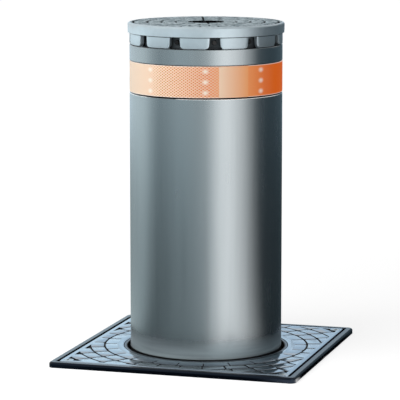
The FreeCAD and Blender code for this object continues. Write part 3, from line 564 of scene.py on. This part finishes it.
# Cover casting: the CAD cover with the setts' corners worn round and their top edges eased
def makeCover():
    piece = copyNode("cover_plate", "coverCasting")

    def isAt(edge, across, along):
        reach = coverSet["tipReach"]
        return all(abs(v.co.x - across) < reach and abs(v.co.y - along) < reach for v in edge.verts)

    def isCorner(edge):
        sharp = math.radians(coverSet["cornerSharp"])
        low, high = sorted(edge.verts, key=lambda v: v.co.z)
        upright = (low.co.xy - high.co.xy).length < snug
        spans = abs(low.co.z - coverSet["base"]) < snug and abs(high.co.z - coverSet["top"]) < snug
        if not (upright and spans and edge.calc_face_angle_signed(0) > sharp):
            return False
        sides = [other.calc_length() for other in high.link_edges if other is not edge]
        return min(sides) > coverSet["cornerRoom"]

    for along, back in coverSet["tips"]:  # sharp tips draw back from the joint beside them
        for side in (1, -1):
            selectEdges(piece, lambda edge: isAt(edge, coverSet["border"], side * along))
            bpy.ops.transform.translate(value=(0, side * back, 0))
    selectEdges(piece, isCorner)
    bpy.ops.mesh.bevel(offset=coverSet["corner"], segments=pieceSet["cornerSteps"], affect="EDGES")
    easeTopRim(piece, coverSet)
    closePiece(piece, "ground_unit", "cover_casting", "cover_plate")


# Head casting: the CAD head with its tread worn round and the teeth's outer edges broken
def makeHead():
    piece = copyNode("head_cap", "headCasting")

    def isToothEdge(edge):
        middle = (edge.verts[0].co + edge.verts[1].co) / 2
        outside = all(abs(v.co.xy.length - headSet["toothRadius"]) < 2 * snug for v in edge.verts)
        inReach = headSet["skirtFoot"] - snug < middle.z < headSet["rimFoot"] - 5 * snug
        return outside and inReach and edge.calc_face_angle(0) > math.radians(headSet["toothSharp"])

    easeTopRim(piece, headSet)
    selectEdges(piece, isToothEdge)
    bpy.ops.mesh.bevel(offset=headSet["toothEase"], segments=pieceSet["easeSteps"], affect="EDGES")
    closePiece(piece, "bollard", "head_casting", "head_cap")


makeCover()
makeHead()
print("cover and head castings eased")


# Tape lap: a plain length of film stuck over the joint of the prismatic one
lapSet = {"radius": 137.36 * mm, "thick": 0.12 * mm, "bearing": 37.3, "width": 22.6, "foot": 476.7 * mm,
          "height": 54.6 * mm, "facets": 360, "paler": 0.4, "fade": (28, 54)}


def makeTapeLap():
    bpy.ops.object.select_all(action="DESELECT")
    bpy.ops.mesh.primitive_circle_add(vertices=lapSet["facets"], radius=lapSet["radius"])
    piece = startPiece("tapeLap")
    bpy.ops.transform.translate(value=(0, 0, lapSet["foot"]))
    extrudeUp(lapSet["height"])
    bpy.ops.mesh.select_mode(type="FACE")
    shape = bmesh.from_edit_mesh(piece.data)
    for face in shape.faces:
        middle = face.calc_center_median()
        bearing = math.degrees(math.atan2(middle.x, -middle.y))
        face.select_set(abs(bearing - lapSet["bearing"]) > lapSet["width"] / 2)
    bmesh.update_edit_mesh(piece.data)
    bpy.ops.mesh.delete(type="FACE")
    bpy.ops.mesh.select_all(action="SELECT")
    bpy.ops.mesh.normals_make_consistent(inside=False)
    shape = bmesh.from_edit_mesh(piece.data)
    shape.faces.ensure_lookup_table()
    first = shape.faces[0]
    if first.normal.dot(first.calc_center_median() * Vector((1, 1, 0))) < 0:
        bpy.ops.mesh.flip_normals()
    bpy.ops.object.mode_set(mode="OBJECT")
    wall = piece.modifiers.new("tapeThickness", "SOLIDIFY")
    wall.thickness = lapSet["thick"]
    wall.offset = 1
    bpy.ops.object.modifier_apply(modifier=wall.name)
    closePiece(piece, "bollard", "reflective_film")
    piece.data.materials[0] = orangeFilm("plainOrangeFilm", lapSet)


# Corner screws: countersunk, with a hexagon socket, flush with the setts
screwSet = {"place": 197 * mm, "head": 7.2 * mm, "shank": 4.0 * mm, "top": 10 * mm, "socket": 3.1 * mm,
            "flats": 6, "socketDepth": 2.8 * mm, "ease": 0.35 * mm, "sides": 48,
            "corners": ((1, 1), (-1, 1), (-1, -1), (1, -1))}


def makeScrew():
    bpy.ops.object.select_all(action="DESELECT")
    bpy.ops.mesh.primitive_circle_add(vertices=screwSet["sides"], radius=screwSet["head"])
    piece = startPiece("cornerScrew1")
    coneDrop = screwSet["head"] - screwSet["shank"]
    narrow = screwSet["shank"] / screwSet["head"]
    socketReach = (screwSet["socket"] + screwSet["shank"]) / 2

    def isOnTop(edge):
        return all(v.co.z > screwSet["top"] - snug for v in edge.verts)

    def isSocketRim(edge):
        return all(v.co.xy.length < socketReach and v.co.z > snug for v in edge.verts)

    def isHeadRim(edge):
        return isOnTop(edge) and all(v.co.xy.length > socketReach for v in edge.verts)

    bpy.ops.transform.translate(value=(0, 0, screwSet["top"]))
    extrudeUp(-coneDrop)
    bpy.ops.transform.resize(value=(narrow, narrow, 1))
    extrudeUp(coneDrop - screwSet["top"])
    bpy.ops.mesh.edge_face_add()
    bpy.ops.mesh.primitive_circle_add(vertices=screwSet["flats"], radius=screwSet["socket"])
    bpy.ops.transform.translate(value=(0, 0, screwSet["top"]))
    selectEdges(piece, isOnTop, anyEdge=True)
    bpy.ops.mesh.bridge_edge_loops()
    selectEdges(piece, isSocketRim, anyEdge=True)
    extrudeUp(-screwSet["socketDepth"])
    bpy.ops.mesh.edge_face_add()
    bpy.ops.mesh.select_all(action="SELECT")
    bpy.ops.mesh.normals_make_consistent(inside=False)
    selectEdges(piece, isHeadRim)
    bpy.ops.mesh.bevel(offset=screwSet["ease"], segments=pieceSet["easeSteps"], affect="EDGES")
    return piece


def makeScrews():
    first = makeScrew()
    bpy.ops.object.mode_set(mode="OBJECT")
    screws = [first]
    for number in range(2, len(screwSet["corners"]) + 1):
        copy = first.copy()
        copy.data = first.data.copy()
        copy.name = f"cornerScrew{number}"
        scene.collection.objects.link(copy)
        screws.append(copy)
    for screw, (x, y) in zip(screws, screwSet["corners"]):
        openEdit(screw)
        bpy.ops.mesh.select_all(action="SELECT")
        bpy.ops.transform.translate(value=(x * screwSet["place"], y * screwSet["place"], 0))
        closePiece(screw, "ground_unit", "zinc_fasteners", "cover_screws")


# Weld beads: rippled fillets under the flange and at the casing's foot
weldSet = {"radius": 180.2 * mm, "bead": 3.2 * mm, "ripple": 0.45 * mm, "rippleEvery": 3,
           "steps": 288, "sides": 10, "heights": {"flangeWeld": -1.4 * mm, "floorWeld": -886.4 * mm}}


def makeWelds():
    for name, height in weldSet["heights"].items():
        bpy.ops.object.select_all(action="DESELECT")
        bpy.ops.mesh.primitive_torus_add(major_radius=weldSet["radius"], minor_radius=weldSet["bead"],
                                         major_segments=weldSet["steps"], minor_segments=weldSet["sides"])
        piece = startPiece(name)
        bpy.ops.transform.translate(value=(0, 0, height))
        bpy.ops.mesh.select_mode(type="VERT")
        bpy.ops.mesh.select_all(action="DESELECT")
        shape = bmesh.from_edit_mesh(piece.data)
        for vert in shape.verts:
            turn = math.atan2(vert.co.y, vert.co.x) / math.tau * weldSet["steps"]
            vert.select_set(round(turn) % weldSet["rippleEvery"] == 0)
        shape.select_flush_mode()
        bmesh.update_edit_mesh(piece.data)
        bpy.ops.transform.shrink_fatten(value=weldSet["ripple"])
        closePiece(piece, "ground_unit", "galvanised_steel")


makeTapeLap()
makeScrews()
makeWelds()
print("tape lap, corner screws and welds made")


# Floor and world: white studio paper at paving level, with a hole where the unit is let in, under a white
# sky. What is seen straight, in a reflection or through a lens is lifted to white
studioSet = {"floorSide": 60.0, "holeSide": 0.36, "paper": "#B4B4B4", "nearReach": 0.3, "farReach": 2.5,
             "liftNear": 0.78, "liftFar": 0.97, "worldLift": 1.0, "worldLight": 0.1}


def seenRays(tree):
    path = addNode(tree, "LightPath").outputs
    seen = calc(tree, "MAXIMUM", path["Is Camera Ray"], path["Is Glossy Ray"])
    return calc(tree, "MAXIMUM", seen, path["Is Transmission Ray"])


def makeFloor():
    bpy.ops.object.select_all(action="DESELECT")
    bpy.ops.mesh.primitive_plane_add(size=studioSet["floorSide"])
    floor = bpy.context.object
    floor.name = "studioFloor"
    bpy.ops.object.mode_set(mode="EDIT")
    bpy.ops.mesh.select_all(action="SELECT")
    bpy.ops.mesh.inset(thickness=(studioSet["floorSide"] - studioSet["holeSide"]) / 2)
    bpy.ops.mesh.delete(type="FACE")
    bpy.ops.object.mode_set(mode="OBJECT")
    finish, tree, place = startFinish("studioWhite")
    radius = addNode(tree, "VectorMath", {0: place}, operation="LENGTH").outputs["Value"]
    fill = remap(tree, radius, studioSet["nearReach"], studioSet["farReach"],
                 low=studioSet["liftNear"], high=studioSet["liftFar"])
    paper = addNode(tree, "BsdfDiffuse", {"Color": toLinear(studioSet["paper"])})
    glow = addNode(tree, "Emission", {"Strength": calc(tree, "MULTIPLY", seenRays(tree), fill)})
    sheet = addNode(tree, "AddShader", {0: paper.outputs[0], 1: glow.outputs[0]})
    clear = addNode(tree, "BsdfTransparent")
    fromBelow = addNode(tree, "NewGeometry").outputs["Backfacing"]
    oneSided = addNode(tree, "MixShader", {0: fromBelow, 1: sheet.outputs[0], 2: clear.outputs[0]})
    addNode(tree, "OutputMaterial", {"Surface": oneSided.outputs[0]})
    floor.data.materials.append(finish)


def makeWorld():
    world = bpy.data.worlds.new("studioWorld")
    scene.world = world
    world.use_nodes = True
    tree = world.node_tree
    tree.nodes.clear()
    level = remap(tree, seenRays(tree), low=studioSet["worldLight"], high=studioSet["worldLift"])
    sky = addNode(tree, "Background", {"Color": toLinear("#FFFFFF"), "Strength": level})
    addNode(tree, "OutputWorld", {"Surface": sky.outputs[0]})


# Each lamp stands at a bearing to the right of the camera's line, a distance from the axis and a height.
# Both are aimed at the tube
lampAim = Vector((0, 0, 0.3))
lampSet = {
    "keyBox": {"bearing": -48, "reach": 1.6, "height": 1.0, "size": (1.4, 1.4), "power": 20},
    "topBox": {"bearing": -60, "reach": 0.6, "height": 2.6, "size": (1.6, 1.6), "power": 20},
}


def makeLamps():
    for name, lamp in lampSet.items():
        light = bpy.data.lights.new(name, "AREA")
        light.shape = "RECTANGLE"
        light.size, light.size_y = lamp["size"]
        light.energy = lamp["power"]
        holder = bpy.data.objects.new(name, light)
        scene.collection.objects.link(holder)
        holder.location = standAt(lamp["bearing"], lamp["reach"], lamp["height"])
        holder.rotation_euler = (lampAim - holder.location).to_track_quat("-Z", "Y").to_euler()
        holder.visible_camera = False
        holder.visible_glossy = False


# Reflector: a sheet that only reflections see, laid on the floor round the part as a photographer lays
# cards. Each card has a bearing right of the camera's line, a near tone and a far tone. From the key to
# the back, the sheet is turned up as a wall
reflectorSet = {
    "near": 0.315, "full": 3.9, "far": 9.0, "top": 4.0, "height": 0.6 * mm, "facets": 360,
    "wallFrom": 8, "wallTo": 200, "glow": 3.4, "rise": 3.2,
    "ring": 0.226, "ringFade": 0.03, "ringTone": "#030406",
    "cards": {
        "leftEdge": (-168, "#5A6466", "#8A99A2"),
        "paleCard": (-106, "#8D999C", "#D6E6EB"),
        "darkGap": (-73, "#4C585C", "#8CA1A9"),
        "greyCard": (-34, "#667276", "#B2C8D0"),
        "openFront": (-8, "#7A8589", "#B1C0C5"),
        "key": (28, "#F0F0F0", "#FFFFFF"),
        "blackFlag": (90, "#1E262A", "#36434A"),
        "flagEnd": (160, "#1E262A", "#36434A"),
        "backCard": (172, "#1E262A", "#7B8994"),
    },
}


def reflectorFinish():
    finish, tree, place = startFinish("reflectorTones")
    lines = [{0: place, 1: standAt(bearing, 1, 0)} for bearing in (90, 0)]  # aside, then ahead
    reaches = [addNode(tree, "VectorMath", line, operation="DOT_PRODUCT") for line in lines]
    bearing = calc(tree, "ARCTAN2", *[reach.outputs["Value"] for reach in reaches])
    around = remap(tree, bearing, -math.pi, math.pi)
    cards = reflectorSet["cards"].values()
    nearTone = toneRamp(tree, around, [(turn / 360 + 0.5, near) for turn, near, far in cards], "EASE")
    farTone = toneRamp(tree, around, [(turn / 360 + 0.5, far) for turn, near, far in cards], "EASE")
    spot = splitPlace(tree, place)
    radius = flatLength(tree, spot["X"], spot["Y"])
    outward = remap(tree, radius, reflectorSet["near"], reflectorSet["full"])
    tone = mixTones(tree, calc(tree, "POWER", outward, reflectorSet["rise"]), nearTone, farTone)
    offRing = remap(tree, radius, reflectorSet["near"] - reflectorSet["ringFade"], reflectorSet["near"])
    ringed = mixTones(tree, offRing, reflectorSet["ringTone"], tone)
    glow = addNode(tree, "Emission", {"Color": ringed, "Strength": reflectorSet["glow"]})
    addNode(tree, "OutputMaterial", {"Surface": glow.outputs[0]})
    return finish


def makeReflector():
    bpy.ops.object.select_all(action="DESELECT")
    bpy.ops.mesh.primitive_circle_add(vertices=reflectorSet["facets"], radius=reflectorSet["ring"])
    sheet = startPiece("reflector")
    spread = reflectorSet["far"] / reflectorSet["ring"]
    wallWidth = reflectorSet["wallTo"] - reflectorSet["wallFrom"]
    bpy.ops.transform.translate(value=(0, 0, reflectorSet["height"]))
    bpy.ops.mesh.extrude_edges_move()
    bpy.ops.transform.resize(value=(spread, spread, 1))
    extrudeUp(reflectorSet["top"])
    bpy.ops.mesh.select_mode(type="FACE")
    shape = bmesh.from_edit_mesh(sheet.data)
    for face in shape.faces:
        middle = face.calc_center_median()
        bearing = math.degrees(math.atan2(middle.x, -middle.y)) - cameraSet["turn"]
        isUpright = middle.z > reflectorSet["top"] / 4
        inWall = (bearing - reflectorSet["wallFrom"]) % 360 <= wallWidth
        face.select_set(isUpright and not inWall)
    bmesh.update_edit_mesh(sheet.data)
    bpy.ops.mesh.delete(type="FACE")
    bpy.ops.object.mode_set(mode="OBJECT")
    sheet.data.materials.append(reflectorFinish())
    sheet.visible_camera = False
    sheet.visible_diffuse = False
    sheet.visible_shadow = False
    sheet.visible_transmission = False


makeFloor()
makeWorld()
makeLamps()
makeReflector()
print("studio built")
